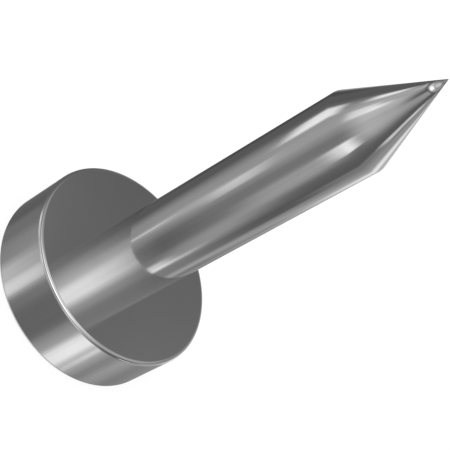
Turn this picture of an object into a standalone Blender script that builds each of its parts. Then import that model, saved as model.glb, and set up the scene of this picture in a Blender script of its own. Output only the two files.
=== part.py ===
"""Rail spike, standing on its head with the point up.

Two turned steel pieces share one axis. The head is a thick disc with a blind bore. The shank is a
round bar with a conical point, and its plain end is the spigot that the head's bore grips.

Metres, +Z up. The origin is the centre of the head's flat striking face, and +Z runs along the
axis to the point. The head's other face, at HEAD_THICKNESS, is the one that bears on the rail.
"""

import math

import bmesh
import bpy

# Driving dimensions.
HEAD_DIAMETER = 0.065
HEAD_THICKNESS = 0.0205
SHANK_DIAMETER = 0.024
PARALLEL_LENGTH = 0.093
POINT_LENGTH = 0.0295

# The joint between the two pieces.
BORE_FLOOR = 0.006
JOINT_GAP = 0.0003
SPIGOT_CHAMFER = 0.0008

# Edges: the head's rims and the corner where the point begins are rounded, and so is the tip's nose.
RIM_RADIUS = 0.0012
SHOULDER_RADIUS = 0.0030
NOSE_RADIUS = 0.00015

# Facets round the axis, and steps along each rounded edge.
SEGMENTS = 96
ARC_STEPS = 4

# Worked out from the dimensions above.
HEAD_RADIUS = HEAD_DIAMETER / 2
SHANK_RADIUS = SHANK_DIAMETER / 2
BORE_RADIUS = SHANK_RADIUS + JOINT_GAP
SPIGOT_END = BORE_FLOOR + JOINT_GAP
POINT_START = HEAD_THICKNESS + PARALLEL_LENGTH
TIP = POINT_START + POINT_LENGTH


def clear_scene():
    for old in list(bpy.data.objects):
        bpy.data.objects.remove(old, do_unlink=True)


def arc(centre, radius, start_degrees, end_degrees, steps=ARC_STEPS):
    """Profile points (radius from the axis, height) round part of a circle, from start to end."""
    points = []
    for step in range(steps + 1):
        angle = math.radians(start_degrees + (end_degrees - start_degrees) * step / steps)
        points.append((centre[0] + radius * math.cos(angle), centre[1] + radius * math.sin(angle)))
    return points


def turned(name, profile, material):
    """A solid turned round +Z. Its profile starts and ends on the axis and runs up the outer side."""
    mesh = bmesh.new()
    corners = [mesh.verts.new((radius, 0.0, height)) for radius, height in profile]
    edges = [mesh.edges.new(pair) for pair in zip(corners, corners[1:])]
    bmesh.ops.spin(
        mesh,
        geom=corners + edges,
        cent=(0, 0, 0),
        axis=(0, 0, 1),
        angle=math.tau,
        steps=SEGMENTS,
        use_merge=True,
    )
    bmesh.ops.remove_doubles(mesh, verts=mesh.verts, dist=1e-6)
    bmesh.ops.recalc_face_normals(mesh, faces=mesh.faces)
    data = bpy.data.meshes.new(name)
    mesh.to_mesh(data)
    mesh.free()
    data.shade_smooth()
    data.set_sharp_from_angle(angle=math.radians(30))
    data.materials.append(material)
    piece = bpy.data.objects.new(name, data)
    bpy.context.collection.objects.link(piece)
    return piece


def steel(name, colour, roughness):
    """Bare polished steel."""
    material = bpy.data.materials.new(name)
    material.use_nodes = True
    shader = material.node_tree.nodes["Principled BSDF"]
    shader.inputs["Base Color"].default_value = (*colour, 1.0)
    shader.inputs["Metallic"].default_value = 1.0
    shader.inputs["Roughness"].default_value = roughness
    return material


def head():
    """A disc with rounded rims, bored blind from its bearing face."""
    rim = HEAD_RADIUS - RIM_RADIUS
    profile = [(0.0, 0.0)]
    profile += arc((rim, RIM_RADIUS), RIM_RADIUS, -90, 0)
    profile += arc((rim, HEAD_THICKNESS - RIM_RADIUS), RIM_RADIUS, 0, 90)
    profile += [(BORE_RADIUS, HEAD_THICKNESS), (BORE_RADIUS, BORE_FLOOR), (0.0, BORE_FLOOR)]
    return turned("head", profile, steel("head_steel", (0.45, 0.45, 0.46), 0.18))


def shank():
    """A bar with a chamfered spigot below and a conical point above, blended at the shoulder."""
    half_angle = math.atan2(SHANK_RADIUS, POINT_LENGTH)
    turn = math.degrees(half_angle)
    blend = SHOULDER_RADIUS * math.tan(half_angle / 2)
    shoulder = (SHANK_RADIUS - SHOULDER_RADIUS, POINT_START - blend)
    nose = (0.0, TIP - NOSE_RADIUS / math.sin(half_angle))
    profile = [(0.0, SPIGOT_END), (SHANK_RADIUS - SPIGOT_CHAMFER, SPIGOT_END)]
    profile += [(SHANK_RADIUS, SPIGOT_END + SPIGOT_CHAMFER)]
    profile += arc(shoulder, SHOULDER_RADIUS, 0, turn)
    profile += arc(nose, NOSE_RADIUS, turn, 90)
    return turned("shank", profile, steel("shank_steel", (0.45, 0.45, 0.46), 0.15))


clear_scene()
head()
shank()
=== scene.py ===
"""The looks of the rail spike, which stands on its head on a white studio floor.

The head and the shank are turned again here as fine meshes on the frame's dimensions. Angles in
this file are in degrees. A direction's azimuth is counted from +X towards +Y, and its elevation
is its angle above the floor. The studio is a world of soft boxes that the camera doesn't see
itself, so the background stays white behind the steel.
"""

import math

import bpy
from mathutils import Matrix, Vector


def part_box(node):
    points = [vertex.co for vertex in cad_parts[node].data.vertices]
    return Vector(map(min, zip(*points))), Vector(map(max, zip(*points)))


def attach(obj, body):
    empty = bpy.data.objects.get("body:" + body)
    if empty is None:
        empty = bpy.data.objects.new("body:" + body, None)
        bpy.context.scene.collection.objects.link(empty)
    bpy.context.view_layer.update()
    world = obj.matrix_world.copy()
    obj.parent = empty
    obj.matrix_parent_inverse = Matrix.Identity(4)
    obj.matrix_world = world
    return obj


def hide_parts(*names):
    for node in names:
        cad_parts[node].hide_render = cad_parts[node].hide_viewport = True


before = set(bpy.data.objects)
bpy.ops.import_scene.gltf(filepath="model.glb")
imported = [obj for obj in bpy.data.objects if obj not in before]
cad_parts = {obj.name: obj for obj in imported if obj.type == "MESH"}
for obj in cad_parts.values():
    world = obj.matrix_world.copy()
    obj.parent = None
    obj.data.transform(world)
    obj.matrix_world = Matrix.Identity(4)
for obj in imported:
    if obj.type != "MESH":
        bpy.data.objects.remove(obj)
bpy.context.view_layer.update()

# Sizes from the frame.
HEAD_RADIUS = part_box("head")[1].x
HEAD_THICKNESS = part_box("head")[1].z
SHANK_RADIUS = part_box("shank")[1].x
SPIGOT_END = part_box("shank")[0].z
NOSE_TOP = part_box("shank")[1].z

# Sizes that the boxes don't hold, as the CAD model has them.
POINT_LENGTH = 0.0295
RIM_RADIUS = 0.0012
SHOULDER_RADIUS = 0.0030
NOSE_RADIUS = 0.00015
SPIGOT_CHAMFER = 0.0008

# The bore fits the spigot closely here, so no gap shows where the shank enters the head.
BORE_PLAY = 0.000005
SPIGOT_END_GAP = 0.0003
BORE_RADIUS = SHANK_RADIUS + BORE_PLAY
BORE_FLOOR = SPIGOT_END - SPIGOT_END_GAP

# The point, worked out from its length.
POINT_ANGLE = math.degrees(math.atan2(SHANK_RADIUS, POINT_LENGTH))
TIP = NOSE_TOP + NOSE_RADIUS / math.sin(math.radians(POINT_ANGLE)) - NOSE_RADIUS
SHOULDER = TIP - POINT_LENGTH

# The reflections on the photo's shank bend slowly all the way from the head to the tip, though its
# outline is straight. So the shading leans by these angles and not by the surface's own. Each entry
# is a height and the lean of the shading's outward direction. The last stretch, where it turns
# upward, starts at TIP_BEND_START of the point's length.
TIP_BEND_START = 0.8
SHADING_LEANS = (
    (HEAD_THICKNESS, 0.0),
    (SHOULDER, POINT_ANGLE / 2),
    (SHOULDER + TIP_BEND_START * POINT_LENGTH, POINT_ANGLE),
    (TIP, 90.0),
)

# Facets round the axis, and steps along the parts of a profile.
SEGMENTS = 192
FLAT_STEPS = 4
ARC_STEPS = 10
POINT_STEPS = 30
BODY_STEPS = 12

# Points nearer to each other than this are one point, in metres.
SAME_PLACE = 1e-8

# The soft boxes, each as azimuth, elevation, width, height, soft edge across, soft edge up, and
# brightness. Where two overlap, they add up. One with a brightness below 0 is a black flag, and
# takes light away.
SOFT_BOXES = {
    "left wall": (-146, -16, 60, 68, 40, 12, 0.28),
    "high left card": (-168, 18, 50, 12, 20, 8, 0.35),
    "right wall": (57, -10, 100, 70, 16, 30, 0.27),
    "right wall edge": (-2, -12, 16, 14, 8, 8, 0.14),
    "right wall light": (70, -21, 64, 18, 30, 18, 0.17),
    "far right strip": (85, -32, 20, 24, 8, 10, 0.20),
    "right ceiling": (8, 51, 138, 30, 56, 16, 0.30),
    "back ceiling": (153, 54, 112, 24, 16, 12, 0.20),
    "back wash": (163, 46, 52, 30, 26, 16, 0.07),
    "ceiling wash": (-108, 50, 120, 26, 80, 18, 0.75),
    "ceiling light": (-92, 49, 54, 22, 34, 18, 1.10),
    "left ceiling": (-130, 41, 40, 24, 26, 16, 0.24),
    "top light": (0, 90, 400, 44, 10, 12, 0.70),
    "ground": (-90, -90, 200, 60, 60, 12, 0.70),
    "front haze": (-90, -12, 100, 36, 50, 16, 0.12),
    "front band": (-92, 4.5, 80, 16, 50, 8, 0.40),
    "high front card": (-62, 20, 50, 14, 24, 8, 0.33),
    "front strip": (-68, -7.5, 29, 4.5, 6, 5, 1.20),
    "front glow": (-64, -16, 36, 12, 20, 8, 0.22),
    "low front glow": (-44, -29, 36, 14, 30, 12, 0.24),
    "low front fill": (-85, -38, 70, 5, 30, 5, 0.12),
    "low right strip": (-38, -43, 20, 16, 12, 4, 0.74),
    "low right tail": (-30, -35, 9, 8, 4, 5, 0.30),
    "low right card": (-37, -47, 54, 10, 20, 4, 0.32),
    "thin low right strip": (-20, -44, 6, 5, 4, 4, 0.35),
    "low right spill": (-5, -42, 60, 20, 30, 20, 0.20),
    "right strip": (45, -18.5, 20, 14, 10, 8, 0.60),
    "right glow": (27, -25, 12, 16, 8, 8, 0.13),
    "back strip": (-167, -14, 23, 7, 8, 4, 0.90),
    "low left card": (-139, -48, 36, 6, 14, 4, 0.38),
    "low back haze": (168, -47, 36, 10, 16, 4, 0.09),
    "low front haze": (-86, -47, 56, 10, 20, 4, 0.05),
    "low left strip": (-130, -47, 14, 8, 8, 6, 0.32),
    "thin left strip": (-137, -36, 5, 8, 3, 5, 0.35),
    "left glow": (-136, -30, 16, 16, 10, 6, 0.10),
    "left strip": (-129, -22, 20, 7, 5, 5, 0.34),
    "high left strip": (-138, -2, 20, 8, 8, 4, 0.54),
    "high left tip": (-133, 3.5, 12, 5, 6, 4, 0.48),
    "back card": (-173, 0, 14, 8, 7, 5, 0.85),
    "back glow": (-163, 3, 36, 18, 16, 10, 0.14),
    "right edge light": (-5, -1, 12, 12, 4, 4, 0.70),
    "right edge tip": (3, 2, 8, 5, 4, 4, 0.45),
    "far black flag": (129, -28, 22, 17, 10, 8, -0.055),
    "right black flag": (31, -33, 18, 12, 10, 8, -0.14),
    "thin black flag": (57, -35, 12, 8, 8, 6, -0.09),
}

# The brightness of the room round them, in every direction.
ROOM_BRIGHTNESS = 0.15

# The steel's tone and its range of roughness, the same for the head's burnished rims, whose lighter
# tone is partly wear and partly a painted highlight, and how far both tones go up and down.
STEEL_TONE = 0.60
STEEL_GLOSS = (0.06, 0.11)
RIM_WEAR_AND_HIGHLIGHT_TONE = 0.75
RIM_GLOSS = (0.05, 0.08)
TONE_SPREAD = 0.04

# The steel's marks: how many die lines fit in one radius, how often they change along the axis, in
# changes to the metre, and how far they and the turning marks stand proud.
HEAD_DIE_LINES = 36.0
SHANK_DIE_LINES = 14.0
DIE_LINE_DRIFT = 12.0
DIE_LINE_HEIGHT = 0.000008
TURNING_MARK_HEIGHT = 0.0000006

# How fine the turning marks and the slow changes of gloss and tone are, in changes to the metre.
TURNING_MARK_SCALE = 2500.0
GLOSS_SCALE = 90.0
TONE_SCALE = 35.0

# How much of the die lines shows in the gloss and in the tone.
LINES_IN_GLOSS = 0.5
LINES_IN_TONE = 1.5

# The middle of a noise pattern, and the part of its range that the gloss follows.
NOISE_MIDDLE = 0.5
NOISE_RANGE = (0.3, 0.7)

# How far up or down a surface's outward direction points. Up to the first of these the surface is a
# side, and from the second on it is a flat face.
SIDE_TO_FLAT = (0.6, 0.9)

# The floor: half its width, how white it is, how much of it is lit instead of glowing, and the
# strength and spread of its light.
FLOOR_REACH = 4.0
FLOOR_WHITE = (0.9, 0.9, 0.9, 1.0)
FLOOR_LIT_SHARE = 0.15
FLOOR_LIGHT_STRENGTH = 3.0
FLOOR_LIGHT_SPREAD = 80

WHITE = (1.0, 1.0, 1.0, 1.0)
HALF_TURN = 180.0

# The camera looks at AIM from VIEW_DISTANCE away and is rolled, so that the spike leans to the right.
AIM = Vector((0.0044, 0.0, 0.0605))
VIEW_DISTANCE = 0.3645
VIEW_ELEVATION = 36.9
VIEW_ROLL = 60.7
LENS_MM = 102.0
SENSOR_MM = 36.0
NEAREST_SEEN = 0.01


def stroke(start, end, steps=1, leans=None):
    """A straight stretch of a profile, as (radius, height, lean) points.

    The lean is the angle of the surface's outward direction above the horizontal. It is square to
    the stretch unless leans gives it as a function of the height.
    """
    square = math.degrees(math.atan2(start[0] - end[0], end[1] - start[1]))
    points = []
    for step in range(steps + 1):
        share = step / steps
        radius = start[0] + (end[0] - start[0]) * share
        height = start[1] + (end[1] - start[1]) * share
        points.append((radius, height, leans(height) if leans else square))
    return points


def arc(centre, radius, start, end, leans=None):
    """A rounded stretch of a profile between two angles, as (radius, height, lean) points."""
    points = []
    for step in range(ARC_STEPS + 1):
        lean = start + (end - start) * step / ARC_STEPS
        angle = math.radians(lean)
        height = centre[1] + radius * math.sin(angle)
        points.append((centre[0] + radius * math.cos(angle), height, leans(height) if leans else lean))
    return points


def shading_lean(height):
    """The lean of the shank's shading at a height, blended between the entries of SHADING_LEANS."""
    for (low, low_lean), (high, high_lean) in zip(SHADING_LEANS, SHADING_LEANS[1:]):
        if height <= high:
            break
    share = min(1.0, max(0.0, (height - low) / (high - low)))
    low_lean, high_lean = math.radians(low_lean), math.radians(high_lean)
    out = (1 - share) * math.cos(low_lean) + share * math.cos(high_lean)
    up = (1 - share) * math.sin(low_lean) + share * math.sin(high_lean)
    return math.degrees(math.atan2(up, out))


def turned(name, strokes):
    """A piece turned round +Z from a profile that starts and ends on the axis and goes up outside.

    Each stroke is a pair: its points and its material.
    """
    rings, bands, materials = [], [], []
    for points, material in strokes:
        if material not in materials:
            materials.append(material)
        finish = materials.index(material)
        for place, (radius, height, lean) in enumerate(points):
            if not rings or math.dist(rings[-1], (radius, height)) > SAME_PLACE:
                rings.append((radius, height))
            if place:
                bands.append((len(rings) - 2, last_lean, lean, finish))
            last_lean = lean

    corners, first = [], []
    for radius, height in rings:
        first.append(len(corners))
        around = 1 if radius < SAME_PLACE else SEGMENTS
        for turn in range(around):
            angle = math.tau * turn / SEGMENTS
            corners.append((radius * math.cos(angle), radius * math.sin(angle), height))

    def corner(ring, turn):
        return first[ring] + (0 if rings[ring][0] < SAME_PLACE else turn % SEGMENTS)

    def outward(turn, lean):
        angle, lean = math.tau * turn / SEGMENTS, math.radians(lean)
        return (math.cos(angle) * math.cos(lean), math.sin(angle) * math.cos(lean), math.sin(lean))

    faces, normals, finishes = [], [], []
    for low, low_lean, high_lean, finish in bands:
        for turn in range(SEGMENTS):
            face = [
                (corner(low, turn), outward(turn, low_lean)),
                (corner(low, turn + 1), outward(turn + 1, low_lean)),
                (corner(low + 1, turn + 1), outward(turn + 1, high_lean)),
                (corner(low + 1, turn), outward(turn, high_lean)),
            ]
            if face[0][0] == face[1][0]:
                del face[1]
            elif face[2][0] == face[3][0]:
                del face[3]
            faces.append([index for index, _ in face])
            normals += [normal for _, normal in face]
            finishes.append(finish)

    data = bpy.data.meshes.new(name)
    data.from_pydata(corners, [], faces)
    data.shade_smooth()
    data.normals_split_custom_set(normals)
    data.polygons.foreach_set("material_index", finishes)
    for material in materials:
        data.materials.append(material)
    piece = bpy.data.objects.new(name, data)
    bpy.context.scene.collection.objects.link(piece)
    return piece


def spike_head(steel, rim_steel_and_highlight):
    """The disc: flat faces, burnished rounded rims with a painted highlight, and the spigot's blind
    bore.
    """
    rim = HEAD_RADIUS - RIM_RADIUS
    side_top = HEAD_THICKNESS - RIM_RADIUS
    bore_top = (BORE_RADIUS, HEAD_THICKNESS)
    bore_end = (BORE_RADIUS, BORE_FLOOR)
    return turned(
        "spike_head",
        [
            (stroke((0.0, 0.0), (rim, 0.0), steps=FLAT_STEPS), steel),
            (arc((rim, RIM_RADIUS), RIM_RADIUS, -90, 0), rim_steel_and_highlight),
            (stroke((HEAD_RADIUS, RIM_RADIUS), (HEAD_RADIUS, side_top), steps=FLAT_STEPS), steel),
            (arc((rim, side_top), RIM_RADIUS, 0, 90), rim_steel_and_highlight),
            (stroke((rim, HEAD_THICKNESS), bore_top, steps=FLAT_STEPS), steel),
            (stroke(bore_top, bore_end), steel),
            (stroke(bore_end, (0.0, BORE_FLOOR)), steel),
        ],
    )


def spike_shank(steel):
    """The bar, with its spigot below and its point above."""
    half_turn = math.radians(POINT_ANGLE)
    blend = SHOULDER_RADIUS * math.tan(half_turn / 2)
    bend = (SHANK_RADIUS - SHOULDER_RADIUS, SHOULDER - blend)
    nose = (0.0, NOSE_TOP - NOSE_RADIUS)
    body_top = (SHANK_RADIUS, SHOULDER - blend)
    cone_low = (SHANK_RADIUS - blend * math.sin(half_turn), SHOULDER + blend * math.cos(half_turn))
    cone_high = (NOSE_RADIUS * math.cos(half_turn), nose[1] + NOSE_RADIUS * math.sin(half_turn))
    chamfer = (SHANK_RADIUS - SPIGOT_CHAMFER, SPIGOT_END)
    spigot = (SHANK_RADIUS, SPIGOT_END + SPIGOT_CHAMFER)
    body_low = (SHANK_RADIUS, HEAD_THICKNESS)
    strokes = [
        stroke((0.0, SPIGOT_END), chamfer),
        stroke(chamfer, spigot),
        stroke(spigot, body_low),
        stroke(body_low, body_top, steps=BODY_STEPS, leans=shading_lean),
        arc(bend, SHOULDER_RADIUS, 0, POINT_ANGLE, leans=shading_lean),
        stroke(cone_low, cone_high, steps=POINT_STEPS, leans=shading_lean),
        arc(nose, NOSE_RADIUS, POINT_ANGLE, 90, leans=shading_lean),
    ]
    return turned("spike_shank", [(points, steel) for points in strokes])


def add_node(tree, kind, inputs=(), **settings):
    """A node with its settings and its inputs set, each input from a value or another node's socket."""
    node = tree.nodes.new(kind)
    for setting, value in settings.items():
        setattr(node, setting, value)
    for socket, value in dict(inputs).items():
        if isinstance(value, bpy.types.NodeSocket):
            tree.links.new(value, node.inputs[socket])
        else:
            node.inputs[socket].default_value = value
    return node


def calculate(tree, operation, *values):
    """The output of a Math node."""
    return add_node(tree, "ShaderNodeMath", enumerate(values), operation=operation).outputs[0]


def remap(tree, value, from_low, from_high, to_low, to_high, curve="LINEAR"):
    """The output of a Map Range node, which clamps to the new range."""
    inputs = {
        "Value": value,
        "From Min": from_low,
        "From Max": from_high,
        "To Min": to_low,
        "To Max": to_high,
    }
    return add_node(tree, "ShaderNodeMapRange", inputs, interpolation_type=curve).outputs["Result"]


def polished_steel(name, tone, gloss, die_lines):
    """Polished bare steel.

    Fine die lines run along the axis on the sides, and die_lines of them fit in one radius. Fine
    turning marks run round it, and on the flat faces they are the only marks. The gloss, as a range
    of roughness, and the tone vary slowly and from line to line.
    """
    material = bpy.data.materials.new(name)
    material.use_nodes = True
    tree = material.node_tree
    shader = tree.nodes["Principled BSDF"]
    place = add_node(tree, "ShaderNodeTexCoord").outputs["Object"]
    split = add_node(tree, "ShaderNodeSeparateXYZ", {"Vector": place}).outputs
    flat = add_node(tree, "ShaderNodeCombineXYZ", {"X": split["X"], "Y": split["Y"]}).outputs[0]
    away = add_node(tree, "ShaderNodeVectorMath", {0: flat}, operation="LENGTH").outputs["Value"]
    around = add_node(tree, "ShaderNodeVectorMath", {0: flat}, operation="NORMALIZE").outputs[0]

    # 1 on the sides and 0 on the flat faces.
    facing = add_node(tree, "ShaderNodeNewGeometry").outputs["Normal"]
    upward = add_node(tree, "ShaderNodeSeparateXYZ", {"Vector": facing}).outputs["Z"]
    side = remap(tree, calculate(tree, "ABSOLUTE", upward), *SIDE_TO_FLAT, 1.0, 0.0)

    # Die lines: a pattern that changes round the axis, and only slowly along it.
    along = calculate(tree, "MULTIPLY", split["Z"], DIE_LINE_DRIFT)
    drift = add_node(tree, "ShaderNodeCombineXYZ", {"Z": along}).outputs[0]
    spread = add_node(
        tree, "ShaderNodeVectorMath", {0: around, "Scale": die_lines}, operation="SCALE"
    ).outputs[0]
    lined = add_node(tree, "ShaderNodeVectorMath", {0: spread, 1: drift}, operation="ADD").outputs[0]
    noise = add_node(
        tree, "ShaderNodeTexNoise", {"Vector": lined, "Scale": 1.0, "Detail": 4.0, "Roughness": 0.65}
    ).outputs["Fac"]
    lines = calculate(tree, "MULTIPLY", calculate(tree, "SUBTRACT", noise, NOISE_MIDDLE), side)

    # Turning marks: a pattern that changes with the distance from the axis and with the height.
    turning = add_node(tree, "ShaderNodeCombineXYZ", {"X": away, "Z": split["Z"]}).outputs[0]
    rings = add_node(
        tree, "ShaderNodeTexNoise", {"Vector": turning, "Scale": TURNING_MARK_SCALE, "Detail": 3.0}
    ).outputs["Fac"]

    # Slow changes of gloss and tone, with the die lines on top.
    clouds = add_node(
        tree, "ShaderNodeTexNoise", {"Vector": place, "Scale": GLOSS_SCALE, "Detail": 5.0}
    ).outputs["Fac"]
    haze = calculate(tree, "MULTIPLY_ADD", lines, LINES_IN_GLOSS, clouds)
    tones = add_node(
        tree, "ShaderNodeTexNoise", {"Vector": place, "Scale": TONE_SCALE, "Detail": 3.0}
    ).outputs["Fac"]
    shade = calculate(tree, "MULTIPLY_ADD", lines, LINES_IN_TONE, tones)
    darker = (tone - TONE_SPREAD, tone - TONE_SPREAD, tone - TONE_SPREAD, 1.0)
    lighter = (tone + TONE_SPREAD, tone + TONE_SPREAD, tone + TONE_SPREAD, 1.0)
    colour = add_node(
        tree, "ShaderNodeMix", {"Factor": shade, "A": darker, "B": lighter}, data_type="RGBA"
    )

    relief = add_node(
        tree, "ShaderNodeBump", {"Height": lines, "Strength": 1.0, "Distance": DIE_LINE_HEIGHT}
    )
    fine_relief = add_node(
        tree,
        "ShaderNodeBump",
        {
            "Height": rings,
            "Strength": 1.0,
            "Distance": TURNING_MARK_HEIGHT,
            "Normal": relief.outputs[0],
        },
    )
    tree.links.new(colour.outputs["Result"], shader.inputs["Base Color"])
    tree.links.new(remap(tree, haze, *NOISE_RANGE, *gloss), shader.inputs["Roughness"])
    tree.links.new(fine_relief.outputs["Normal"], shader.inputs["Normal"])
    shader.inputs["Metallic"].default_value = 1.0
    return material


def studio():
    """The world: soft boxes for reflections and light, and plain white for the camera."""
    world = bpy.data.worlds.new("studio")
    bpy.context.scene.world = world
    world.use_nodes = True
    tree = world.node_tree
    tree.nodes.clear()
    direction = add_node(tree, "ShaderNodeTexCoord").outputs["Generated"]
    split = add_node(tree, "ShaderNodeSeparateXYZ", {"Vector": direction}).outputs
    azimuth = calculate(tree, "DEGREES", calculate(tree, "ARCTAN2", split["Y"], split["X"]))
    elevation = calculate(tree, "DEGREES", calculate(tree, "ARCSINE", split["Z"]))

    def window(away, half_size, edge):
        """1 inside the box's half size and 0 outside it, with a soft edge."""
        return remap(tree, away, half_size - edge / 2, half_size + edge / 2, 1.0, 0.0, "SMOOTHSTEP")

    brightness = ROOM_BRIGHTNESS
    for across, up, width, height, edge_across, edge_up, power in SOFT_BOXES.values():
        turn = calculate(tree, "SUBTRACT", azimuth, across)
        turn = calculate(tree, "WRAP", turn, HALF_TURN, -HALF_TURN)
        rise = calculate(tree, "SUBTRACT", elevation, up)
        inside = calculate(
            tree,
            "MULTIPLY",
            window(calculate(tree, "ABSOLUTE", turn), width / 2, edge_across),
            window(calculate(tree, "ABSOLUTE", rise), height / 2, edge_up),
        )
        brightness = calculate(tree, "MULTIPLY_ADD", inside, power, brightness)

    room = add_node(tree, "ShaderNodeBackground", {"Color": WHITE, "Strength": brightness})
    white = add_node(tree, "ShaderNodeBackground", {"Color": WHITE})
    seen = add_node(tree, "ShaderNodeLightPath").outputs["Is Camera Ray"]
    mixed = add_node(tree, "ShaderNodeMixShader", {0: seen, 1: room.outputs[0], 2: white.outputs[0]})
    add_node(tree, "ShaderNodeOutputWorld", {"Surface": mixed.outputs[0]})


def floor():
    """A white floor.

    Reflections don't see it and it casts no shadow, so the steel sees the studio below it too.
    """
    near, far = -FLOOR_REACH, FLOOR_REACH
    corners = [(near, near, 0.0), (far, near, 0.0), (far, far, 0.0), (near, far, 0.0)]
    data = bpy.data.meshes.new("floor")
    data.from_pydata(corners, [], [(0, 1, 2, 3)])
    material = bpy.data.materials.new("white_floor")
    material.use_nodes = True
    tree = material.node_tree
    tree.nodes.clear()
    lit = add_node(tree, "ShaderNodeBsdfDiffuse", {"Color": FLOOR_WHITE}).outputs[0]
    glow = add_node(tree, "ShaderNodeEmission", {"Strength": 1.0}).outputs[0]
    surface = add_node(tree, "ShaderNodeMixShader", {0: FLOOR_LIT_SHARE, 1: glow, 2: lit})
    add_node(tree, "ShaderNodeOutputMaterial", {"Surface": surface.outputs[0]})
    data.materials.append(material)
    plane = bpy.data.objects.new("floor", data)
    bpy.context.scene.collection.objects.link(plane)
    plane.visible_glossy = False
    plane.visible_shadow = False


def floor_light():
    """A broad light straight overhead, which only the floor shows."""
    data = bpy.data.lights.new("floor_light", "SUN")
    data.energy = FLOOR_LIGHT_STRENGTH
    data.angle = math.radians(FLOOR_LIGHT_SPREAD)
    light = bpy.data.objects.new("floor_light", data)
    light.visible_glossy = False
    bpy.context.scene.collection.objects.link(light)


def camera():
    """The photo's view, from above the head's bearing face."""
    data = bpy.data.cameras.new("camera")
    data.lens = LENS_MM
    data.sensor_width = SENSOR_MM
    data.clip_start = NEAREST_SEEN
    eye = bpy.data.objects.new("camera", data)
    tilt = Matrix.Rotation(math.radians(90 - VIEW_ELEVATION), 4, "X")
    roll = Matrix.Rotation(math.radians(VIEW_ROLL), 4, "Z")
    back = Matrix.Translation((0.0, 0.0, VIEW_DISTANCE))
    eye.matrix_world = Matrix.Translation(AIM) @ tilt @ roll @ back
    bpy.context.scene.collection.objects.link(eye)
    bpy.context.scene.camera = eye


# The rims' lighter tone is partly burnished wear and partly a painted highlight along the rims.
head = spike_head(
    polished_steel("head_polished_steel", STEEL_TONE, STEEL_GLOSS, HEAD_DIE_LINES),
    polished_steel("head_burnished_rim_and_highlight", RIM_WEAR_AND_HIGHLIGHT_TONE, RIM_GLOSS, HEAD_DIE_LINES),
)
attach(head, "root")
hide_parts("head")

shank = spike_shank(
    polished_steel("shank_polished_steel", STEEL_TONE, STEEL_GLOSS, SHANK_DIE_LINES)
)
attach(shank, "root")
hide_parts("shank")

studio()
floor()
floor_light()
camera()
bpy.context.scene.view_settings.view_transform = "Standard"
